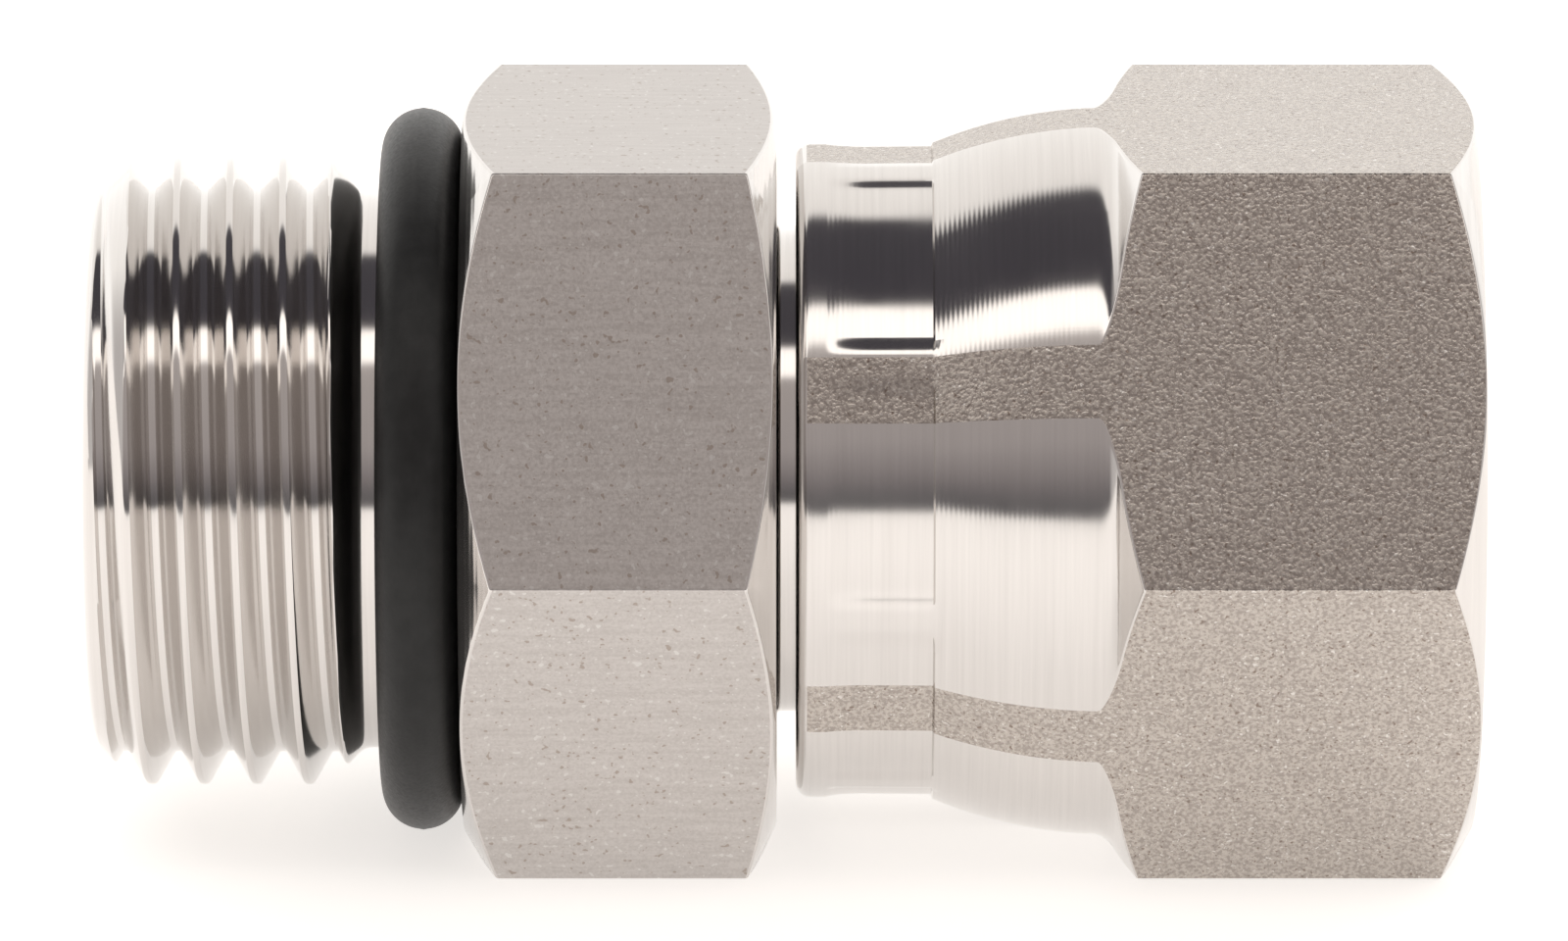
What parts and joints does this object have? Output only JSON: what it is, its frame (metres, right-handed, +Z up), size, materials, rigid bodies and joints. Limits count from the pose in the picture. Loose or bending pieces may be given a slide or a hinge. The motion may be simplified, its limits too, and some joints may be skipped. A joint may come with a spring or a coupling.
{
  "type": "swivel adapter fitting",
  "caption": "Straight stainless hydraulic adapter with an O-ring sealed port stud, a fixed hexagon and a crimped swivel nut over a 37 degree cone seat.",
  "frame": {"origin": "where the flow axis crosses the port face, the face of the fixed hexagon that stops against the port", "axes": "+X along the flow axis from the port stud towards the swivel nut, +Z up from the flat that the fitting lies on"},
  "size_m": [0.0416, 0.0254, 0.022],
  "materials": {
    "turned_steel": "turned stainless steel, polished on the thread, drawn bar surface on the flats",
    "nut_steel": "turned and crimped stainless steel, grainy bar surface on the flats",
    "seal_rubber": "matte black moulded rubber"
  },
  "bodies": {
    "fitting": {"adapter_body": "turned_steel", "o_ring": "seal_rubber"},
    "nut": {"swivel_nut": "nut_steel"}
  },
  "joints": [
    {"name": "nut_swivel", "type": "hinge", "parent": "fitting", "child": "nut", "pos_m": [0.02, 0, 0], "axis": [1, 0, 0], "continuous": true}
  ]
}
